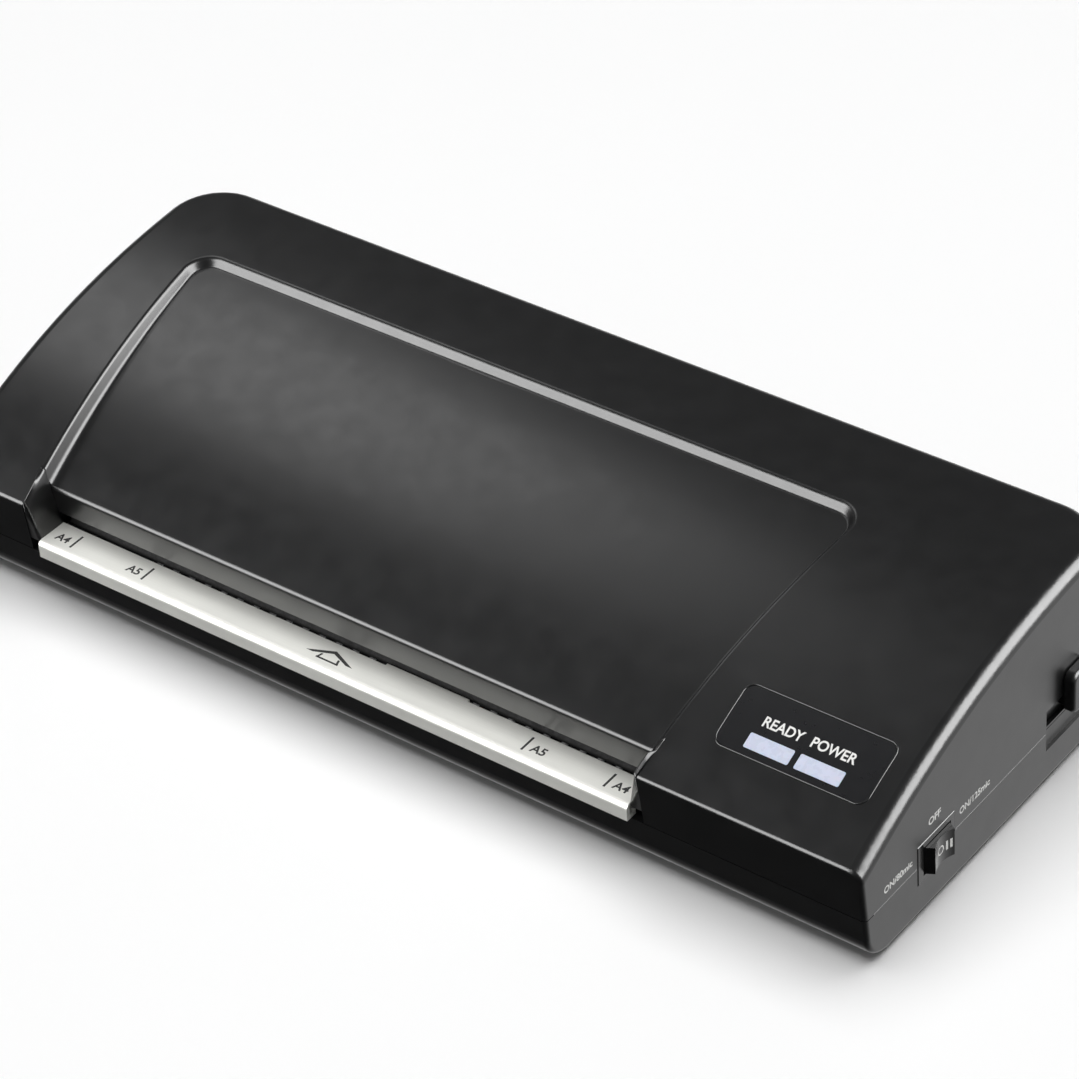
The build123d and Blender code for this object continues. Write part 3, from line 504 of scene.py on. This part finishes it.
def tray_marks(material):
    top = TRAY_HIGH.z + PRINT_LIFT
    marks = []
    for size, half in TICKS.items():
        for side in (-1, 1):
            x = FEED_X + side * half * MM
            tick = plates([bar(-TICK_WIDE / 2, -TICK_LONG / 2, TICK_WIDE / 2, TICK_LONG / 2)])
            marks.append(moved(tick, Matrix.Translation((x, MARK_Y, top))))
            word = lettering(size, SIZE_WORD_HIGH, SIZE_WORD_WEIGHT)
            place = (x + side * SIZE_WORD_OUT, MARK_Y - SIZE_WORD_DOWN, top)
            marks.append(moved(word, Matrix.Translation(place)))
    add_piece("tray_size_marks", joined(marks), "case", material)
    arrow = moved(plates(arrow_outlines()), Matrix.Translation((FEED_X, MARK_Y, top)))
    add_piece("tray_feed_arrow", arrow, "case", material)


def arrow_outlines():
    """Wide open chevron over a small closed house shape: feed this way."""
    wide, tip, line = 9.3 * MM, 2.6 * MM, 1.0 * MM
    left = [(-wide, -1.4 * MM), (0, tip), (0, tip - line * 1.4), (-wide * 0.72, -1.4 * MM)]
    right = [(-x, y) for x, y in reversed(left)]
    foot = bar(-4.4 * MM, -2.9 * MM, 4.4 * MM, -2.9 * MM + line * 0.7)
    corners = ((-4.4, -2.9), (-3.6, -2.9), (-2.9, -0.5), (-3.7, -0.5))
    stem_left = [(x * MM, y * MM) for x, y in corners]
    stem_right = [(-x, y) for x, y in reversed(stem_left)]
    return [left, right, foot, stem_left, stem_right]


# ---- status panel ------------------------------------------------------------------------------------
BEAD_R, BEAD_CORNER, BEAD_STEP = 0.3 * MM, 3.5 * MM, 1.5 * MM
PANEL_WORD_HIGH, PANEL_WORD_WEIGHT = 3.1 * MM, 0.03
PANEL_WORD_RIGHT, PANEL_WORD_UP = 0.6 * MM, 4.2 * MM    # from the window's middle and from its top


def rounded_loop(low, high, radius, steps=8):
    """Closed loop of points round a rounded rectangle."""
    points = []
    x0, x1, y0, y1 = low.x + radius, high.x - radius, low.y + radius, high.y - radius
    for x, y, start in ((x1, y1, 0), (x0, y1, 90), (x0, y0, 180), (x1, y0, 270)):
        for i in range(steps + 1):
            a = math.radians(start + 90 * i / steps)
            points.append((x + radius * math.cos(a), y + radius * math.sin(a)))
    return points


def subdivided(points, longest):
    """Closed loop with more points, so that no step is much longer than longest."""
    dense = []
    for i, (x, y) in enumerate(points):
        nx, ny = points[(i + 1) % len(points)]
        parts = max(1, round(math.dist((x, y), (nx, ny)) / longest))
        dense += [(x + (nx - x) * k / parts, y + (ny - y) * k / parts) for k in range(parts)]
    return dense


def round_bar(points, radius, closed):
    """Mesh of a round bar that follows points."""
    curve = bpy.data.curves.new("bar", "CURVE")
    curve.dimensions = "3D"
    curve.bevel_depth, curve.bevel_resolution = radius, 3
    curve.use_fill_caps = True
    spline = curve.splines.new("POLY")
    spline.points.add(len(points) - 1)
    for point, place in zip(spline.points, points):
        point.co = (*place, 1)
    spline.use_cyclic_u = closed
    mesh = mesh_of(curve)
    mesh.shade_smooth()
    return mesh


def panel_bead(material):
    """Fine raised bead round the status panel."""
    out = Vector((BEAD_R, BEAD_R, 0))
    loop = subdivided(rounded_loop(PANEL_LOW - out, PANEL_HIGH + out, BEAD_CORNER), BEAD_STEP)
    surface = surface_of("top_cover")
    points = [(x, y, height_on(surface, (x, y))) for x, y in loop]
    add_piece("status_panel_bead", round_bar(points, BEAD_R, True), "case", material)


def panel_words(material):
    surface = surface_of("status_panel")
    for name, window in (("READY", "ready_window"), ("POWER", "power_window")):
        low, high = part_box(window)
        word = lettering(name, PANEL_WORD_HIGH, PANEL_WORD_WEIGHT)
        x = (low.x + high.x) / 2 + PANEL_WORD_RIGHT
        word = moved(word, Matrix.Translation((x, high.y + PANEL_WORD_UP, 0)))
        add_piece("legend_" + name.lower(), draped(word, surface), "case", material)


# ---- joint between cover and base ----------------------------------------------------------------------
SEAM_Z, SEAM_R, SEAM_PROUD = 20.5 * MM, 0.3 * MM, 0.1 * MM
SEAM_RUNS = {"front": (6.0, 29.0), "middle": (49.6, 100.4), "rear": (125.4, 127.0)}   # mm back
SEAM_STEPS = 12


def seam_lines(material):
    """Fine bright edge along the joint on the right end, between the cut-outs."""
    x = COVER_HIGH.x - SEAM_R + SEAM_PROUD
    for name, (start, end) in SEAM_RUNS.items():
        shares = [i / SEAM_STEPS for i in range(SEAM_STEPS + 1)]
        points = [(x, FRONT_Y + blend(at, start, end) * MM, SEAM_Z) for at in shares]
        line = round_bar(points, SEAM_R, False)
        add_piece("seam_line_" + name, line, "case", material)


# ---- side legends --------------------------------------------------------------------------------------
SIDE_WORDS = {                               # words, then mm back, mm up and the capitals' height in mm
    "legend_off": ("OFF", 38.7, 33.8, 2.6),
    "legend_thin": ("ON/80mic", 19.1, 25.2, 2.4),
    "legend_thick": ("ON/125mic", 60.4, 25.6, 2.4),
}
SIDE_WORD_WEIGHT, SIDE_LIFT = 0.04, 0.015 * MM
RING_Y, BARS_Y, MARK_HIGH = FRONT_Y + 39.2 * MM, FRONT_Y + 43.0 * MM, 3.4 * MM
RING_LINE, BAR_WIDE, ROCKER_LIFT = 0.5 * MM, 0.8 * MM, 0.03 * MM


def side_words(material):
    x = COVER_HIGH.x + SIDE_LIFT
    for name, (text, y, z, height) in SIDE_WORDS.items():
        word = lettering(text, height * MM, SIDE_WORD_WEIGHT)
        word = on_side(word, x, FRONT_Y + y * MM, z * MM)
        add_piece(name, word, "case", material)


def ring_outline(radius, wide, steps=32):
    """Flat ring as quads round a circle."""
    quads = []
    for i in range(steps):
        a, b = (2 * math.pi * k / steps for k in (i, i + 1))
        quads.append([(r * math.cos(t), r * math.sin(t)) for r, t in
                      ((radius, a), (radius, b), (radius - wide, b), (radius - wide, a))])
    return quads


def onto_rocker(mesh, middle_y, middle_z):
    """Presses a flat mark, drawn along Y and Z, onto the rocker's hollow face."""
    surface = surface_of("switch_rocker")
    for vertex in mesh.vertices:
        along, up, proud = vertex.co
        place = Vector((1.0, middle_y + along, middle_z + up))
        hit = surface.ray_cast(place, Vector((-1, 0, 0)))[0]
        vertex.co = (hit.x + ROCKER_LIFT + proud, place.y, place.z)
    return mesh


def rocker_marks(material):
    """Ring and double bar printed on the rocker."""
    middle_z = (ROCKER_LOW.z + ROCKER_HIGH.z) / 2
    tall, half = MARK_HIGH / 2, BAR_WIDE / 2
    ring = onto_rocker(plates(ring_outline(tall, RING_LINE)), RING_Y, middle_z)
    add_piece("rocker_ring", ring, "rocker", material)
    pair = [bar(x - half, -tall, x + half, tall) for x in (-BAR_WIDE, BAR_WIDE)]
    bars = onto_rocker(plates(pair), BARS_Y, middle_z)
    add_piece("rocker_bars", bars, "rocker", material)


# ---- stage, light and camera -----------------------------------------------------------------------------
ROOM, TABLE_FRONT, TABLE_BACK = 0.17, 0.01, 1.05        # strengths of the surroundings
TABLE_FADE, HORIZON_FADE = (-0.25, 0.55), (-0.06, 0.04)  # along Y and up, as directions
FLOOR_HALF = 6.0


def softbox(name, place, aim, width, height, radiance, diffuse=True, glossy=True):
    """Rectangular studio light; it can be kept out of matt surfaces or out of reflections."""
    light = bpy.data.lights.new(name, "AREA")
    light.shape = "RECTANGLE"
    light.size, light.size_y = width, height
    light.energy = radiance * math.pi * width * height
    box = bpy.data.objects.new(name, light)
    box.location = place
    box.rotation_euler = (Vector(aim) - Vector(place)).to_track_quat("-Z", "Y").to_euler()
    box.visible_camera, box.visible_diffuse, box.visible_glossy = False, diffuse, glossy
    bpy.context.scene.collection.objects.link(box)


def make_stage():
    corners = [(x, y, 0) for x, y in bar(-FLOOR_HALF, -FLOOR_HALF, FLOOR_HALF, FLOOR_HALF)]
    mesh = bpy.data.meshes.new("floor")
    mesh.from_pydata(corners, [], [(0, 1, 2, 3)])
    floor = bpy.data.objects.new("floor", mesh)
    bpy.context.scene.collection.objects.link(floor)
    n = Nodes("white_floor")
    n.link(n.mix(n.noise(0.2, 3.0), (0.93, 0.93, 0.93), (0.95, 0.95, 0.95)), n.shader.inputs["Base Color"])
    n.shader.inputs["Roughness"].default_value = 0.9
    n.shader.inputs["Specular IOR Level"].default_value = 0.0
    mesh.materials.append(n.material)
    floor.visible_glossy = False


def ramp(tree, value, fade, low=0.0, high=1.0):
    """Output that goes from low to high as value crosses the fade."""
    node = tree.nodes.new("ShaderNodeMapRange")
    node.inputs["From Min"].default_value, node.inputs["From Max"].default_value = fade
    node.inputs["To Min"].default_value, node.inputs["To Max"].default_value = low, high
    tree.links.new(value, node.inputs["Value"])
    return node.outputs["Result"]


def make_world():
    """Dim white room with a bright table behind and beside the machine and a dark one in front of it."""
    world = bpy.data.worlds.new("studio")
    bpy.context.scene.world = world
    world.use_nodes = True
    tree = world.node_tree
    background = tree.nodes["Background"]
    background.inputs["Color"].default_value = (1, 1, 1, 1)
    place = tree.nodes.new("ShaderNodeTexCoord")
    split = tree.nodes.new("ShaderNodeSeparateXYZ")
    tree.links.new(place.outputs["Generated"], split.inputs[0])
    table = ramp(tree, split.outputs["Y"], TABLE_FADE, TABLE_FRONT, TABLE_BACK)
    above = ramp(tree, split.outputs["Z"], HORIZON_FADE)
    level = tree.nodes.new("ShaderNodeMix")
    level.inputs[3].default_value = ROOM
    tree.links.new(above, level.inputs[0])
    tree.links.new(table, level.inputs[2])
    tree.links.new(level.outputs[0], background.inputs["Strength"])


def make_lights():
    softbox("top_left", (-0.98, 0.36, 1.28), (-0.05, 0, 0.05), 0.55, 0.55, 3.2, diffuse=False)
    softbox("right", (1.45, 0.66, 0.90), (0, 0, 0.03), 2.0, 1.7, 15.0, diffuse=False)
    softbox("front_left", (-0.90, -1.30, 0.68), (0, 0, 0.04), 1.5, 1.3, 12.0, diffuse=False)
    softbox("overhead_fill", (0, 0, 2.6), (0, 0, 0), 3.0, 3.0, 3.0, glossy=False)


def make_camera():
    turn, down = math.radians(CAMERA_TURN), math.radians(CAMERA_DOWN)
    ahead = Vector((-math.sin(turn) * math.cos(down), math.cos(turn) * math.cos(down), -math.sin(down)))
    data = bpy.data.cameras.new("camera")
    data.lens, data.sensor_width = LENS, SENSOR
    data.clip_start, data.clip_end = 0.05, 50
    camera = bpy.data.objects.new("camera", data)
    level = ahead.to_track_quat("-Z", "Y").to_matrix()
    roll = Matrix.Rotation(math.radians(CAMERA_ROLL), 3, "Z")
    camera.matrix_world = Matrix.Translation(CAMERA_PLACE) @ (level @ roll).to_4x4()
    bpy.context.scene.collection.objects.link(camera)
    bpy.context.scene.camera = camera


def main():
    materials = make_materials()
    dress_nodes(materials)
    black_ink = ink("black_print", (0.02, 0.02, 0.02))
    white_ink = ink("white_print", (0.82, 0.82, 0.80))
    tray_marks(black_ink)
    recess_rim(materials["cover_plastic"])
    panel_bead(materials["cover_plastic"])
    seam_lines(materials["cover_plastic"])
    panel_words(white_ink)
    side_words(white_ink)
    rocker_marks(white_ink)
    make_stage()
    make_world()
    make_lights()
    make_camera()
    bpy.context.scene.view_settings.view_transform = "Standard"


main()
